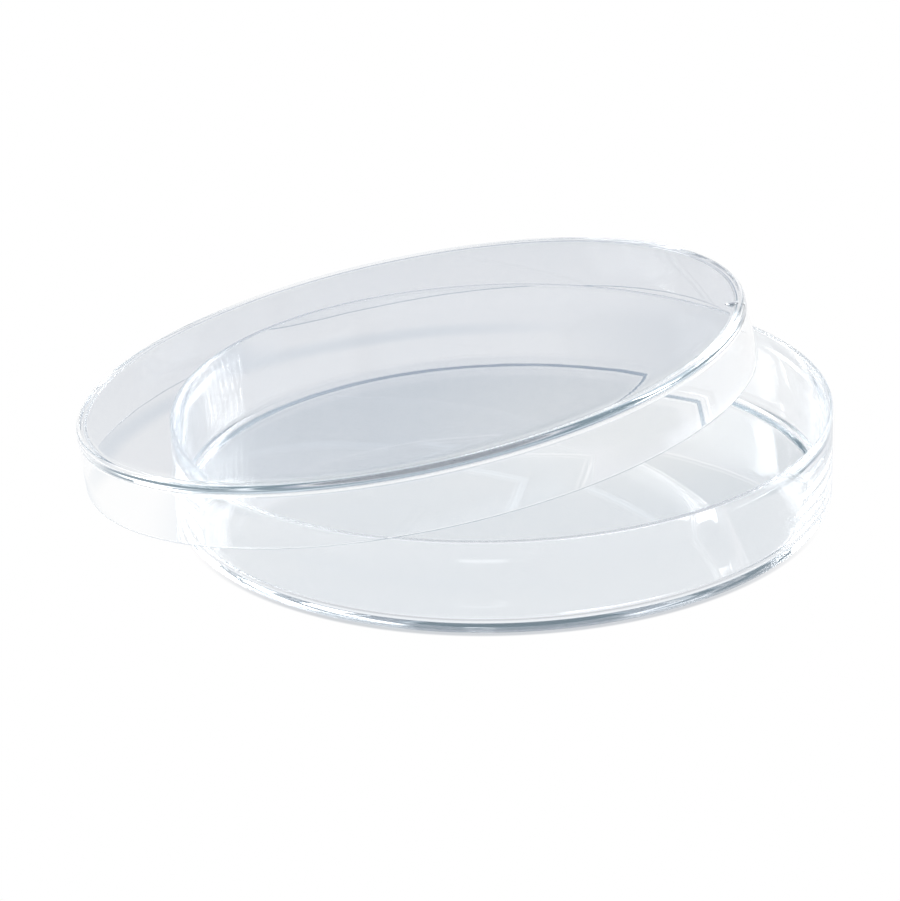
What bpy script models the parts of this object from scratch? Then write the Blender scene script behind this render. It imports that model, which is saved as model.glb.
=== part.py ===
"""Petri dish: a shallow round dish and its loose, slightly wider lid, both of clear
polystyrene. The lid is set down askew, so that one side of it overhangs the dish.

Units are metres, +Z is up. The origin is the centre of the dish's underside.
"""

import math

import bmesh
import bpy
from mathutils import Matrix, Vector

# ---- dish -------------------------------------------------------------------
DISH_HEIGHT = 0.0130
DISH_RIM_RADIUS = 0.0450  # outside of the open rim
DISH_DRAFT = 0.0001  # how much the outside narrows from rim to base
DISH_BASE_RADIUS = DISH_RIM_RADIUS - DISH_DRAFT
DISH_RIM_WALL = 0.0006
DISH_BASE_WALL = 0.0013
DISH_FLOOR = 0.0009
DISH_OUTER_CORNER = 0.0009
DISH_INNER_CORNER = 0.0016

# ---- lid --------------------------------------------------------------------
LID_DEPTH = 0.0086
LID_TOP_RADIUS = 0.0465  # outside of the wall where it meets the plate
LID_DRAFT = 0.0004  # how much the outside widens from plate to open rim
LID_RIM_RADIUS = LID_TOP_RADIUS + LID_DRAFT
LID_RIM_WALL = 0.0006
LID_TOP_WALL = 0.0008
LID_PLATE = 0.0010
LID_OUTER_CORNER = 0.0008
LID_INNER_CORNER = 0.0010

# Fillet on both edges of an open rim, as a share of the wall there. It stays under
# one half, so that a narrow flat is left between the two fillets.
RIM_ROUND_SHARE = 0.46

# A vent nub under the lid's plate, near its edge, which keeps a closed lid from
# sealing on the dish's rim. Its three sizes are half-lengths of an ellipsoid.
NUB_RADIAL = 0.0009
NUB_TANGENTIAL = 0.0008
NUB_VERTICAL = 0.0007
NUB_CENTRE_RADIUS = 0.0447
NUB_DIRECTION_DEG = -5.0  # about the lid's axis, from its +X towards its +Y
NUB_SUNK = 0.00017  # how far its middle lies inside the plate

# ---- how the lid lies -------------------------------------------------------
# Its plate's underside rests on one side of the dish's rim, and its own rim rests
# across the dish's rim at two places on the other side.
LID_CENTRE = (-0.01246, 0.00416, 0.01946)  # middle of the plate's upper face
LID_LEAN_DEG = 9.62  # angle between the lid's axis and the vertical
LID_LEAN_TOWARDS_DEG = 161.5  # compass direction, from +X towards +Y, the axis leans to

# ---- resolution -------------------------------------------------------------
STEPS_ROUND = 96
STEPS_CORNER = 5
STEPS_RIM = 3
NUB_SEGMENTS = 12
NUB_RINGS = 8
AXIS_MERGE = 0.00001  # joins the copies of a profile's end points on the axis

# ---- clear polystyrene ------------------------------------------------------
PLASTIC_IOR = 1.59
PLASTIC_TRANSMISSION = 0.9
PLASTIC_ALPHA = 0.45


def clear_scene():
    for obj in list(bpy.data.objects):
        bpy.data.objects.remove(obj, do_unlink=True)


def add_object(name, data, parent=None):
    obj = bpy.data.objects.new(name, data)
    bpy.context.scene.collection.objects.link(obj)
    obj.parent = parent
    return obj


def fillet_arc(before, corner, after, radius, steps):
    """Points of the arc that rounds a corner, tangent to both of its sides."""
    back = (before - corner).normalized()
    ahead = (after - corner).normalized()
    half = back.angle(ahead) / 2.0
    tangent_length = radius / math.tan(half)
    centre = corner + (back + ahead).normalized() * (radius / math.sin(half))
    # Both ends of the arc, seen from its centre.
    start = corner + back * tangent_length - centre
    end = corner + ahead * tangent_length - centre
    turn = math.atan2(start.x * end.y - start.y * end.x, start.dot(end))
    first = math.atan2(start.y, start.x)
    angles = [first + turn * k / steps for k in range(steps + 1)]
    return [
        (centre.x + radius * math.cos(angle), centre.y + radius * math.sin(angle))
        for angle in angles
    ]


def rounded_profile(start_z, corners, end_z):
    """Points (r, z) of an open chain that starts and ends on the axis.
    Each corner is (r, z, fillet radius, fillet steps)."""
    start = (0.0, start_z)
    end = (0.0, end_z)
    path = [Vector(point) for point in (start, *(corner[:2] for corner in corners), end)]
    points = [start]
    for i, (_, _, radius, steps) in enumerate(corners):
        points += fillet_arc(path[i], path[i + 1], path[i + 2], radius, steps)
    points.append(end)
    return points


def turned(name, profile, parent=None):
    """The profile turned once about Z. It runs down the outer side, which makes
    the faces point outwards."""
    mesh = bpy.data.meshes.new(name)
    mesh.from_pydata(
        [(r, 0.0, z) for r, z in profile],
        [(i, i + 1) for i in range(len(profile) - 1)],
        [],
    )
    obj = add_object(name, mesh, parent)
    screw = obj.modifiers.new("turn", "SCREW")
    screw.axis = "Z"
    screw.angle = 2.0 * math.pi
    screw.steps = STEPS_ROUND
    screw.render_steps = STEPS_ROUND
    screw.use_merge_vertices = True
    screw.merge_threshold = AXIS_MERGE
    screw.use_smooth_shade = True
    return obj


def clear_plastic(name, colour, roughness):
    """Clear polystyrene: faintly blue, glossy, and not metallic."""
    material = bpy.data.materials.new(name)
    material.use_nodes = True
    inputs = material.node_tree.nodes["Principled BSDF"].inputs
    inputs["Base Color"].default_value = (*colour, 1.0)
    inputs["Roughness"].default_value = roughness
    inputs["Metallic"].default_value = 0.0
    inputs["IOR"].default_value = PLASTIC_IOR
    inputs["Transmission Weight"].default_value = PLASTIC_TRANSMISSION
    inputs["Alpha"].default_value = PLASTIC_ALPHA
    material.diffuse_color = (*colour, PLASTIC_ALPHA)
    return material


def build_dish():
    inner_base = DISH_BASE_RADIUS - DISH_BASE_WALL
    inner_rim = DISH_RIM_RADIUS - DISH_RIM_WALL
    rim_round = DISH_RIM_WALL * RIM_ROUND_SHARE
    corners = [
        (inner_base, DISH_FLOOR, DISH_INNER_CORNER, STEPS_CORNER),
        (inner_rim, DISH_HEIGHT, rim_round, STEPS_RIM),
        (DISH_RIM_RADIUS, DISH_HEIGHT, rim_round, STEPS_RIM),
        (DISH_BASE_RADIUS, 0.0, DISH_OUTER_CORNER, STEPS_CORNER),
    ]
    dish = turned("dish", rounded_profile(DISH_FLOOR, corners, 0.0))
    dish.data.materials.append(
        clear_plastic("dish_polystyrene", colour=(0.86, 0.90, 0.95), roughness=0.06)
    )


def build_lid_frame():
    """An empty at the middle of the lid's upper face, leaning as the lid does."""
    frame = add_object("lid_frame", None)
    # The lid tips about a level line square to the direction it leans to.
    across = math.radians(LID_LEAN_TOWARDS_DEG + 90.0)
    tip_axis = Vector((math.cos(across), math.sin(across), 0.0))
    lean = Matrix.Rotation(math.radians(LID_LEAN_DEG), 4, tip_axis)
    frame.location = LID_CENTRE
    frame.rotation_euler = lean.to_euler()
    return frame


def build_nub(name, parent):
    """A small ellipsoid, its middle just inside the plate, longest along the radius.
    It is a hidden helper that the lid takes in."""
    mesh = bpy.data.meshes.new(name)
    shape = bmesh.new()
    bmesh.ops.create_uvsphere(
        shape, u_segments=NUB_SEGMENTS, v_segments=NUB_RINGS, radius=1.0
    )
    bmesh.ops.scale(
        shape, vec=(NUB_RADIAL, NUB_TANGENTIAL, NUB_VERTICAL), verts=shape.verts
    )
    shape.to_mesh(mesh)
    shape.free()
    nub = add_object(name, mesh, parent)
    angle = math.radians(NUB_DIRECTION_DEG)
    nub.location = (
        NUB_CENTRE_RADIUS * math.cos(angle),
        NUB_CENTRE_RADIUS * math.sin(angle),
        -LID_PLATE + NUB_SUNK,
    )
    nub.rotation_euler = (0.0, 0.0, angle)
    nub.hide_render = True
    nub.display_type = "WIRE"
    return nub


def build_lid():
    frame = build_lid_frame()
    inner_rim = LID_RIM_RADIUS - LID_RIM_WALL
    inner_top = LID_TOP_RADIUS - LID_TOP_WALL
    rim_round = LID_RIM_WALL * RIM_ROUND_SHARE
    corners = [
        (LID_TOP_RADIUS, 0.0, LID_OUTER_CORNER, STEPS_CORNER),
        (LID_RIM_RADIUS, -LID_DEPTH, rim_round, STEPS_RIM),
        (inner_rim, -LID_DEPTH, rim_round, STEPS_RIM),
        (inner_top, -LID_PLATE, LID_INNER_CORNER, STEPS_CORNER),
    ]
    lid = turned("lid", rounded_profile(0.0, corners, -LID_PLATE), parent=frame)
    union = lid.modifiers.new("nub_0", "BOOLEAN")
    union.operation = "UNION"
    union.solver = "EXACT"
    union.object = build_nub("nub_0", frame)
    lid.data.materials.append(
        clear_plastic("lid_polystyrene", colour=(0.84, 0.89, 0.95), roughness=0.05)
    )


def main():
    clear_scene()
    units = bpy.context.scene.unit_settings
    units.system = "METRIC"
    units.scale_length = 1.0
    build_dish()
    build_lid()


main()
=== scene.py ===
# A clear polystyrene dish with its lid resting askew on it. The dish stands on z = 0,
# centred on the z axis. The lid opens downwards, and is shifted and tipped down to the
# left. The camera looks along +y from the front, so -x is left and +y is behind.
import math

import bpy
import numpy as np
from mathutils import Matrix, Vector


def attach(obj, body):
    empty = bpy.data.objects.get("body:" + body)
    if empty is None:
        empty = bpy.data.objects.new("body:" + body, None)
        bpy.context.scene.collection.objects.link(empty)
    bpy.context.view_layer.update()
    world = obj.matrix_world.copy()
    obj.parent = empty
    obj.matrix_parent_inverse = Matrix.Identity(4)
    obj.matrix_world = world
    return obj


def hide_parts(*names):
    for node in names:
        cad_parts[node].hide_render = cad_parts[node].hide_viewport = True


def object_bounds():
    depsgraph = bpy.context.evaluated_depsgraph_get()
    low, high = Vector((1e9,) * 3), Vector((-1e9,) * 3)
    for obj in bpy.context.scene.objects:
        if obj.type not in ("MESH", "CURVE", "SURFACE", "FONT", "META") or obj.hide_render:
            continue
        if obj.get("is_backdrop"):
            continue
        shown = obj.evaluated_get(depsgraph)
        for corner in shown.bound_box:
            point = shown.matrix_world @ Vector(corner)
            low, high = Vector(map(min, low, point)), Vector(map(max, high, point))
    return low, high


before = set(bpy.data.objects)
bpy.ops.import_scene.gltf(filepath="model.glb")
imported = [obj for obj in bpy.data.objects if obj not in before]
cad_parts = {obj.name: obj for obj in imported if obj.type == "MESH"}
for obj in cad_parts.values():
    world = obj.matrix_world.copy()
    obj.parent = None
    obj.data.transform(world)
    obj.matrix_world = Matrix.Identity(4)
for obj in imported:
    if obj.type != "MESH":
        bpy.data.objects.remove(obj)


def as_floats(value):
    if isinstance(value, (int, float)):
        return float(value)
    return [as_floats(v) for v in value]


CAD_BOX = as_floats(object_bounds())

# ---- sizes, in metres -------------------------------------------------------
DISH_HEIGHT = 0.0130
DISH_RIM_R = 0.0450
DISH_BASE_R = 0.0449
DISH_RIM_WALL = 0.0006
DISH_BASE_WALL = 0.0013
DISH_FLOOR = 0.0009
DISH_OUTER_CORNER = 0.0009
DISH_INNER_CORNER = 0.0016

# in the lid's own frame, z = 0 is the top of its plate
LID_DEPTH = 0.0086
LID_TOP_R = 0.0465
LID_RIM_R = 0.0469
LID_RIM_WALL = 0.0006
LID_TOP_WALL = 0.0008
LID_PLATE = 0.0010
LID_OUTER_CORNER = 0.0008
LID_INNER_CORNER = 0.0010
LID_CENTRE = Vector((-0.01246, 0.00416, 0.01946))
LID_LEAN = math.radians(9.62)
LID_LEAN_TOWARDS = math.radians(161.5)

# the vent nub, half an ellipsoid under the lid's plate
NUB_RING_R = 0.0447
NUB_ANGLE = math.radians(-5.0)
NUB_RADIAL = 0.0009
NUB_TANGENTIAL = 0.0008
NUB_HEIGHT = 0.0007
NUB_CENTRE_Z = 0.00017 - LID_PLATE  # sunk a little into the plate
NUB_LOWEST_RING = -0.0021  # rings below this belong to the wall and stay put

# ---- mesh fineness ----------------------------------------------------------
DISH_TURNS = 960
LID_TURNS = 800
LONGEST_PIECE = 0.004  # of a profile
RIM_ROUNDING = 0.46  # fillet of a rim's edges, as a share of its wall
NUB_SPAN = math.radians(1.35)  # finer angles to either side of the nub
NUB_STEP = math.radians(0.11)
NUB_RINGS = (0.0434, 0.0449)  # radii between which the rings are closer
NUB_RING_GAP = 0.00010


# ---- mesh helpers -----------------------------------------------------------
def rounded_profile(corners):
    """An open chain of (r, z) points, with filleted corners rounded by a tangent arc.
    A corner is (r, z, fillet, steps)."""
    points = []
    for i, (r, z, fillet, steps) in enumerate(corners):
        here = np.array((r, z))
        if fillet == 0:
            points.append(here)
            continue
        back = np.array(corners[i - 1][:2]) - here
        ahead = np.array(corners[i + 1][:2]) - here
        back /= np.linalg.norm(back)
        ahead /= np.linalg.norm(ahead)
        half = math.acos(float(np.clip(back @ ahead, -1, 1))) / 2
        middle = (back + ahead) / np.linalg.norm(back + ahead)
        centre = here + middle * fillet / math.sin(half)
        start = here + back * fillet / math.tan(half) - centre
        end = here + ahead * fillet / math.tan(half) - centre
        turn = math.atan2(start[0] * end[1] - start[1] * end[0], float(start @ end))
        first = math.atan2(start[1], start[0])
        for k in range(steps + 1):
            angle = first + turn * k / steps
            points.append(centre + fillet * np.array((math.cos(angle), math.sin(angle))))
    return points


def pieces(start, end, longest):
    """Points from start (left out) to end, no further apart than `longest`."""
    count = max(1, math.ceil(float(np.linalg.norm(end - start)) / longest))
    return [start + (end - start) * k / count for k in range(1, count + 1)]


def refined(points, longest):
    """The chain with its long stretches split."""
    chain = points[:1]
    for start, end in zip(points, points[1:]):
        chain += pieces(start, end, longest)
    return chain


def even_turns(count):
    return [2 * math.pi / count * k for k in range(count)]


def wrapped(angle):
    """The angle brought to between -pi and pi."""
    return (angle + math.pi) % (2 * math.pi) - math.pi


def add_object(name, mesh):
    obj = bpy.data.objects.new(name, mesh)
    bpy.context.scene.collection.objects.link(obj)
    return obj


def revolved(name, chain, angles, reshape=None):
    """A closed solid of revolution. The chain starts and ends on the axis.
    reshape(r, z, angle) may give the points a new z."""
    rings = np.array(chain[1:-1])
    ring_count, count = len(rings), len(angles)
    r = np.tile(rings[:, :1], count)
    z = np.tile(rings[:, 1:], count)
    angle = np.tile(angles, (ring_count, 1))
    if reshape is not None:
        z = reshape(r, z, angle)
    xyz = np.stack([r * np.cos(angle), r * np.sin(angle), z], -1).reshape(-1, 3)
    verts = np.vstack([xyz, [[0, 0, chain[0][1]], [0, 0, chain[-1][1]]]])
    first = ring_count * count
    last = first + 1
    final_ring = first - count
    faces = []
    for ring in range(0, final_ring, count):
        for j in range(count):
            k = (j + 1) % count
            faces.append((ring + j, ring + count + j, ring + count + k, ring + k))
    for j in range(count):
        k = (j + 1) % count
        faces.append((first, j, k))
        faces.append((last, final_ring + k, final_ring + j))
    mesh = bpy.data.meshes.new(name)
    mesh.from_pydata(verts.tolist(), [], faces)
    mesh.update()
    mesh.shade_smooth()
    return add_object(name, mesh)


# ---- the dish ---------------------------------------------------------------
def build_dish():
    rim_round = DISH_RIM_WALL * RIM_ROUNDING
    # r, z, fillet, steps: inside floor, up the wall, over the rim and down to the base
    chain = rounded_profile(
        [
            (0.0, DISH_FLOOR, 0, 0),
            (DISH_BASE_R - DISH_BASE_WALL, DISH_FLOOR, DISH_INNER_CORNER, 14),
            (DISH_RIM_R - DISH_RIM_WALL, DISH_HEIGHT, rim_round, 8),
            (DISH_RIM_R, DISH_HEIGHT, rim_round, 8),
            (DISH_BASE_R, 0.0, DISH_OUTER_CORNER, 14),
            (0.0, 0.0, 0, 0),
        ]
    )
    return revolved("dish_body", refined(chain, LONGEST_PIECE), even_turns(DISH_TURNS))


# ---- the lid ----------------------------------------------------------------
def lid_matrix():
    across = LID_LEAN_TOWARDS + math.pi / 2
    lean = Matrix.Rotation(LID_LEAN, 4, Vector((math.cos(across), math.sin(across), 0)))
    return Matrix.Translation(LID_CENTRE) @ lean


def lid_profile():
    rim_round = LID_RIM_WALL * RIM_ROUNDING
    # r, z, fillet, steps: top, down the wall, round the rim and back under the plate
    chain = rounded_profile(
        [
            (0.0, 0.0, 0, 0),
            (LID_TOP_R, 0.0, LID_OUTER_CORNER, 12),
            (LID_RIM_R, -LID_DEPTH, rim_round, 8),
            (LID_RIM_R - LID_RIM_WALL, -LID_DEPTH, rim_round, 8),
            (LID_TOP_R - LID_TOP_WALL, -LID_PLATE, LID_INNER_CORNER, 12),
            (0.0, -LID_PLATE, 0, 0),
        ]
    )
    rings = refined(chain, LONGEST_PIECE)
    points = rings[:1]
    inner, outer = NUB_RINGS
    for start, end in zip(rings, rings[1:]):
        under = all(abs(p[1] + LID_PLATE) < 1e-9 for p in (start, end))
        near = inner < max(start[0], end[0]) and min(start[0], end[0]) < outer
        points += pieces(start, end, NUB_RING_GAP) if under and near else [end]
    return points


def lid_angles():
    """Angles once round, with closer steps at the nub."""
    angles = [a for a in even_turns(LID_TURNS) if abs(wrapped(a - NUB_ANGLE)) > NUB_SPAN]
    count = round(2 * NUB_SPAN / NUB_STEP)
    start = NUB_ANGLE - NUB_SPAN
    angles += [(start + 2 * NUB_SPAN * k / count) % (2 * math.pi) for k in range(count + 1)]
    return sorted(angles)


def with_nub(r, z, angle):
    """Lowers the plate's underside to the rounded vent nub."""
    under = (z < -0.5 * LID_PLATE) & (z > NUB_LOWEST_RING) & (r < LID_TOP_R - LID_TOP_WALL)
    turn = wrapped(angle - NUB_ANGLE)
    radial = (r * np.cos(turn) - NUB_RING_R) / NUB_RADIAL
    across = r * np.sin(turn) / NUB_TANGENTIAL
    inside = 1.0 - radial**2 - across**2
    nub = NUB_CENTRE_Z - NUB_HEIGHT * np.sqrt(np.clip(inside, 0, None))
    return np.where(under & (inside > 0), np.minimum(z, nub), z)


def build_lid():
    obj = revolved("lid_body", lid_profile(), lid_angles(), with_nub)
    # the lean is put into the mesh, so that its box fits it closely
    obj.data.transform(lid_matrix())
    return obj


# ---- node helpers -----------------------------------------------------------
class Nodes:
    """Short names for the nodes used below. An input is a number, a tuple or a socket."""

    def __init__(self, tree):
        self.tree = tree

    def add(self, kind, **settings):
        node = self.tree.nodes.new(kind)
        for key, value in settings.items():
            setattr(node, key, value)
        return node

    def feed(self, socket, value):
        if isinstance(value, bpy.types.NodeSocket):
            self.tree.links.new(value, socket)
        else:
            socket.default_value = value

    def feed_all(self, node, values):
        for socket, value in zip(node.inputs, values):
            self.feed(socket, value)

    def math(self, operation, *values):
        node = self.add("ShaderNodeMath", operation=operation)
        self.feed_all(node, values)
        return node.outputs[0]

    def times(self, a, b):
        return self.math("MULTIPLY", a, b)

    def vector(self, operation, *values):
        node = self.add("ShaderNodeVectorMath", operation=operation)
        self.feed_all(node, values)
        scalar = operation in ("LENGTH", "DOT_PRODUCT")
        return node.outputs["Value" if scalar else "Vector"]

    def rise(self, value, low, high, first=0.0, last=1.0):
        """Smooth change from `first` at low to `last` at high."""
        node = self.add("ShaderNodeMapRange", interpolation_type="SMOOTHSTEP")
        self.feed_all(node, (value, low, high, first, last))
        return node.outputs[0]

    def fall(self, value, low, high):
        return self.rise(value, low, high, 1.0, 0.0)

    def band(self, value, rise, fall):
        """One between the (low, high) limits of `rise` and `fall`, zero beyond them."""
        return self.times(self.rise(value, *rise), self.fall(value, *fall))

    def noise(self, vector, scale, detail, roughness):
        node = self.add("ShaderNodeTexNoise")
        self.feed(node.inputs["Vector"], vector)
        node.inputs["Scale"].default_value = scale
        node.inputs["Detail"].default_value = detail
        node.inputs["Roughness"].default_value = roughness
        return node.outputs[0]

    def split(self, vector):
        node = self.add("ShaderNodeSeparateXYZ")
        self.feed(node.inputs[0], vector)
        return node.outputs

    def join(self, x, y, z):
        node = self.add("ShaderNodeCombineXYZ")
        self.feed_all(node, (x, y, z))
        return node.outputs[0]

    def mix(self, factor, a, b):
        node = self.add("ShaderNodeMix", data_type="RGBA")
        self.feed(node.inputs["Factor"], factor)
        self.feed(node.inputs["A"], a)
        self.feed(node.inputs["B"], b)
        return node.outputs["Result"]


# ---- polystyrene ------------------------------------------------------------
TINT = (0.997, 0.9985, 1.0, 1)
DEEPER_TINT = (0.990, 0.994, 0.999, 1)
# painted shade, the colour of the dark spot painted on the vent nub's tip
PAINTED_DARK_SPOT = (0.22, 0.24, 0.28, 1)
ABSORPTION = (0.0, 0.06, 0.14, 1)
POLYSTYRENE_IOR = 1.59
MARK_R = 0.045  # the radius at which the draw marks are laid out
MARK_SQUEEZE = 0.06  # of z, which draws the marks out upright
MARK_HEIGHT = 0.0000006  # relief of the draw marks, in metres
WAVE_HEIGHT = 0.000011  # relief of the flow waviness, in metres
MOST_HAZE = 0.018  # roughness


def place_in(n, matrix):
    """The shading point in the piece's own frame, whatever way the piece leans."""
    coords = n.add("ShaderNodeTexCoord").outputs["Object"]
    rows = [tuple(row) for row in matrix.inverted()[:3]]
    return n.join(
        *[n.math("ADD", n.vector("DOT_PRODUCT", coords, row[:3]), row[3]) for row in rows]
    )


def polystyrene(name, density, matrix, seed, painted_dark_spot=None):
    """Injection-moulded clear polystyrene. The colour deepens with the path through
    the plastic, the walls carry fine upright draw marks from the mould, the whole a slow
    flow waviness, and the flat faces patches of haze from handling."""
    mat = bpy.data.materials.new(name)
    mat.use_nodes = True
    n = Nodes(mat.node_tree)
    plastic = mat.node_tree.nodes["Principled BSDF"].inputs
    out = mat.node_tree.nodes["Material Output"]
    own = place_in(n, matrix)
    x, y, z = n.split(own)
    radius = n.vector("LENGTH", n.join(x, y, 0.0))
    around = n.math("ARCTAN2", y, x)
    # the cosine and sine keep the marks seamless round the wall
    ring = n.join(
        n.times(n.math("COSINE", around), MARK_R),
        n.times(n.math("SINE", around), MARK_R),
        n.times(z, MARK_SQUEEZE),
    )
    shifted = n.vector("ADD", ring, (seed, 0, 0))
    marks = n.noise(shifted, scale=1100.0, detail=1.0, roughness=0.5)
    wall = n.rise(radius, low=0.0425, high=0.0437)
    shifted = n.vector("ADD", own, (0, 0, seed))
    clouds = n.noise(shifted, scale=60.0, detail=2.0, roughness=0.5)
    flat = n.math("SUBTRACT", 1.0, wall)
    haze = n.times(n.times(n.rise(clouds, low=0.50, high=0.75), flat), MOST_HAZE)
    tone = n.mix(n.rise(clouds, low=0.3, high=0.7), TINT, DEEPER_TINT)
    if painted_dark_spot is not None:
        # painted shade: the nub's tip is painted dark, standing in for the dark look the light
        # gives the clear nub
        away = n.vector("LENGTH", n.vector("SUBTRACT", own, painted_dark_spot))
        tone = n.mix(n.rise(away, low=0.00035, high=0.00075), PAINTED_DARK_SPOT, tone)
    plastic["Base Color"].default_value = TINT  # the socket's own value, under the link
    n.feed(plastic["Base Color"], tone)
    n.feed(plastic["Roughness"], haze)
    plastic["IOR"].default_value = POLYSTYRENE_IOR
    plastic["Transmission Weight"].default_value = 1.0
    relief = n.times(n.times(marks, wall), MARK_HEIGHT)
    relief = n.math("MULTIPLY_ADD", clouds, WAVE_HEIGHT, relief)
    bump = n.add("ShaderNodeBump")
    bump.inputs["Strength"].default_value = 1.0
    bump.inputs["Distance"].default_value = 1.0
    n.feed(bump.inputs["Height"], relief)
    n.feed(plastic["Normal"], bump.outputs[0])
    depth = n.add("ShaderNodeVolumeAbsorption")
    depth.inputs["Color"].default_value = ABSORPTION
    depth.inputs["Density"].default_value = density
    n.feed(out.inputs["Volume"], depth.outputs[0])
    return mat


# ---- the table --------------------------------------------------------------
TABLE_HALF = 6.0
TABLE_Z = -0.0001
WHITE = (1, 1, 1, 1)
TABLE_SHADE = (0.895, 0.92, 0.95, 1)
TABLE_LIT = (1.03, 1.03, 1.03, 1)
CONTACT = (0.64, 0.66, 0.69, 1)
TABLE_SIDE = (0.87, 0.885, 0.90, 1)
TABLE_RING = (0.84, 0.87, 0.90, 1)
OPEN_X, OPEN_Y = 0.017, 0.024  # middle of the patch the lid leaves open to the light


def table_material():
    """White where the camera sees it directly. Through the plastic it has the soft,
    slightly cool shade that a clear dish throws round itself."""
    mat = bpy.data.materials.new("white_table")
    mat.use_nodes = True
    mat.node_tree.nodes.clear()
    n = Nodes(mat.node_tree)
    place = n.add("ShaderNodeNewGeometry").outputs["Position"]
    x, y, _ = n.split(place)
    far = n.vector("LENGTH", n.join(x, y, 0.0))
    inside = n.fall(far, low=0.042, high=0.050)
    # under the dish, lighter on the right and behind
    from_open = n.join(n.math("SUBTRACT", x, OPEN_X), n.math("SUBTRACT", y, OPEN_Y), 0.0)
    open_side = n.vector("LENGTH", from_open)
    lit = n.mix(n.rise(open_side, low=0.006, high=0.036), TABLE_LIT, TABLE_SHADE)
    # a thin darker ring outside the dish, fading out to the right
    ring = n.band(far, rise=(0.0560, 0.0590), fall=(0.0594, 0.0630))
    ring = n.times(ring, n.fall(x, low=-0.015, high=0.020))
    # the dish's own pale shadow on the right and behind
    side = n.times(n.fall(far, low=0.062, high=0.070), n.rise(x, low=0.005, high=0.025))
    side = n.times(side, n.rise(y, low=-0.010, high=0.010))
    shade = n.mix(side, WHITE, TABLE_SIDE)
    shade = n.mix(inside, shade, lit)
    shade = n.mix(ring, shade, TABLE_RING)
    # contact shadow in front of the foot, which the camera sees directly too
    contact = n.band(far, rise=(0.0432, 0.0442), fall=(0.0446, 0.0452))
    contact = n.times(contact, n.fall(y, low=-0.040, high=-0.014))
    shade = n.mix(contact, shade, CONTACT)
    direct = n.mix(contact, WHITE, CONTACT)
    seen = n.add("ShaderNodeLightPath").outputs["Is Camera Ray"]
    glow = n.add("ShaderNodeEmission")
    n.feed(glow.inputs["Color"], n.mix(seen, shade, direct))
    out = n.add("ShaderNodeOutputMaterial")
    n.feed(out.inputs["Surface"], glow.outputs[0])
    return mat


def build_floor():
    mesh = bpy.data.meshes.new("floor")
    corners = [(-1, -1), (1, -1), (1, 1), (-1, 1)]
    verts = [(x * TABLE_HALF, y * TABLE_HALF, TABLE_Z) for x, y in corners]
    mesh.from_pydata(verts, [], [(0, 1, 2, 3)])
    obj = add_object("floor", mesh)
    mesh.materials.append(table_material())
    obj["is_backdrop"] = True


# ---- the studio -------------------------------------------------------------
ROOM_LOW = (0.98, 1.0, 1.03, 1)
ROOM_MID = (0.38, 0.43, 0.52, 1)
ROOM_DARK = (0.17, 0.25, 0.30, 1)
ROOM_HIGH = (0.28, 0.34, 0.42, 1)
# azimuth from +x, half width, lowest, highest, softness, colour, spacing of the bars
# across it (0 for none); all but the colour in degrees
PANELS = [
    # softbox on the left
    (178, 22, 18, 32, 4, (5.0, 5.1, 5.1), 0),
    # softbox on the right, with two brighter barred windows
    (28, 32, 5, 31, 4, (1.7, 1.8, 1.85), 0),
    (32, 14, 12, 27, 2, (18.0, 18.4, 18.2), 3.5),
    (50, 9, 27, 34, 2, (8.0, 8.0, 8.0), 3.5),
    # weak fills on the right and in front
    (-20, 16, 12, 28, 4, (1.6, 1.65, 1.7), 0),
    (-100, 55, 4, 24, 6, (0.9, 0.95, 1.0), 0),
    # two small pale flags behind, either side of the dark middle
    (66, 10, 20, 30, 2, (2.5, 2.55, 2.6), 0),
    (113, 7, 19, 25, 2, (2.0, 2.0, 2.05), 0),
    # bare lamp behind on the left
    (152.5, 6.5, 20, 31, 1.5, (13.0, 13.0, 13.0), 0),
    # two thin strip lamps high behind
    (85.9, 2.2, 31.9, 35.5, 0.3, (6.0, 6.0, 6.0), 0),
    (90.6, 0.6, 28.50, 28.90, 0.2, (0.9, 0.9, 0.9), 0),
    # pale wall high behind
    (100, 65, 33, 58, 2, (0.42, 0.45, 0.48), 0),
    # two faint panels low behind, left and right
    (116, 12, 8, 17, 4, (0.30, 0.30, 0.25), 0),
    (64, 12, 8, 17, 4, (0.20, 0.20, 0.15), 0),
]
BAR_SWING, BAR_MEAN = 0.47, 0.53  # brightness across the bars


def build_world():
    """A quiet blue-grey room with pale panels round it, white to the camera itself."""
    world = bpy.data.worlds.new("studio")
    bpy.context.scene.world = world
    world.use_nodes = True
    world.node_tree.nodes.clear()
    n = Nodes(world.node_tree)
    way = n.add("ShaderNodeTexCoord").outputs["Generated"]
    x, y, z = n.split(way)
    azimuth = n.math("ARCTAN2", y, x)
    height = n.math("ARCSINE", z)
    light = n.mix(n.rise(z, low=0.155, high=0.215), ROOM_LOW, ROOM_MID)
    light = n.mix(n.rise(z, low=0.25, high=0.33), light, ROOM_DARK)
    light = n.mix(n.rise(z, low=0.60, high=0.95), light, ROOM_HIGH)
    for *degrees, colour, bars in PANELS:
        centre, half, low, high, soft = map(math.radians, degrees)
        turn = n.math("WRAP", n.math("SUBTRACT", azimuth, centre), math.pi, -math.pi)
        across = n.fall(n.math("ABSOLUTE", turn), half - soft, half + soft)
        upright = n.band(height, rise=(low - soft, low + soft), fall=(high - soft, high + soft))
        lit = n.times(across, upright)
        if bars:
            wave = n.math("SINE", n.times(azimuth, 360.0 / bars))
            lit = n.times(lit, n.math("MULTIPLY_ADD", wave, BAR_SWING, BAR_MEAN))
        light = n.vector("MULTIPLY_ADD", lit, colour, light)
    seen = n.add("ShaderNodeLightPath").outputs["Is Camera Ray"]
    background = n.add("ShaderNodeBackground")
    n.feed(background.inputs["Color"], n.mix(seen, light, WHITE))
    out = n.add("ShaderNodeOutputWorld")
    n.feed(out.inputs["Surface"], background.outputs[0])


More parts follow.
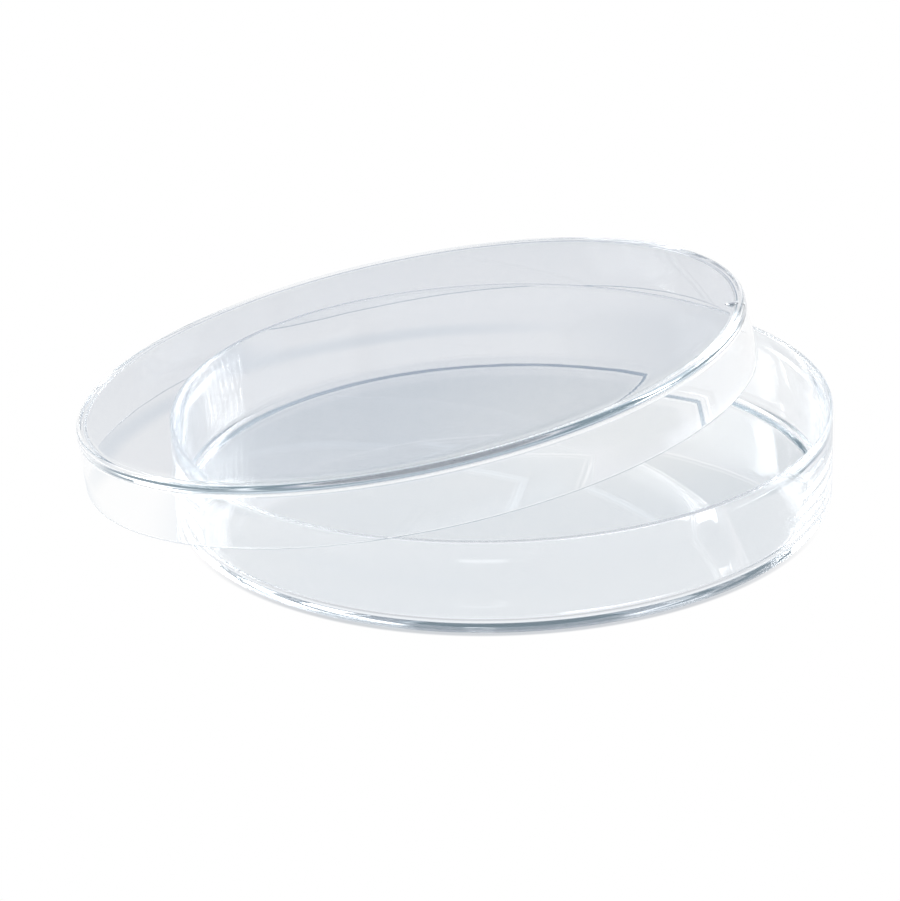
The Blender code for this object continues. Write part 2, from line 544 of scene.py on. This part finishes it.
# ---- the camera -------------------------------------------------------------
CAMERA_TARGET = Vector((0, 0, 0.007))
CAMERA_DISTANCE = 0.500
CAMERA_ELEVATION = math.radians(23.0384)
CAMERA_ROLL = math.radians(-1.8784)
# the axis passes left of and below the target by these slopes
AXIS_LEFT = 0.0143540814
AXIS_DOWN = 0.0015264952
SENSOR_MM = 36.0
LENS_MM = 145.939845


def build_camera():
    along = Vector((0, math.cos(CAMERA_ELEVATION), -math.sin(CAMERA_ELEVATION)))
    level = Vector((1, 0, 0))
    upright = level.cross(along)
    right = level * math.cos(CAMERA_ROLL) + upright * math.sin(CAMERA_ROLL)
    up = upright * math.cos(CAMERA_ROLL) - level * math.sin(CAMERA_ROLL)
    axis = (along - right * AXIS_LEFT - up * AXIS_DOWN).normalized()
    right = (right - axis * right.dot(axis)).normalized()
    up = right.cross(axis)
    cam = bpy.data.cameras.new("camera")
    cam.sensor_width = SENSOR_MM
    cam.lens = LENS_MM
    cam.clip_start = 0.01
    cam.clip_end = 50
    obj = add_object("camera", cam)
    turned = Matrix((right, up, -axis)).transposed().to_4x4()
    obj.matrix_world = Matrix.Translation(CAMERA_TARGET - along * CAMERA_DISTANCE) @ turned
    bpy.context.scene.camera = obj


def set_render():
    scene = bpy.context.scene
    scene.view_settings.view_transform = "Standard"
    scene.view_settings.look = "None"
    cycles = scene.cycles
    cycles.use_denoising = True
    # light is guided sideways through the plates and walls, so a path needs many bounces
    cycles.max_bounces = 256
    cycles.transmission_bounces = 128
    cycles.glossy_bounces = 192
    cycles.transparent_max_bounces = 32
    cycles.caustics_refractive = True
    cycles.caustics_reflective = True
    cycles.sample_clamp_indirect = 12.0


dish = build_dish()
lid = build_lid()
NUB_TIP = (
    NUB_RING_R * math.cos(NUB_ANGLE),
    NUB_RING_R * math.sin(NUB_ANGLE),
    NUB_CENTRE_Z - NUB_HEIGHT,
)
dish.data.materials.append(
    polystyrene("clear_dish", density=4.0, matrix=Matrix.Identity(4), seed=0.31)
)
lid.data.materials.append(
    polystyrene("clear_lid", density=7.0, matrix=lid_matrix(), seed=0.77, painted_dark_spot=NUB_TIP)
)
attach(dish, "dish")
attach(lid, "lid")
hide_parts("dish")
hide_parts("lid")

build_floor()
build_world()
build_camera()
set_render()

{"cad": CAD_BOX, "visual": as_floats(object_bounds())}
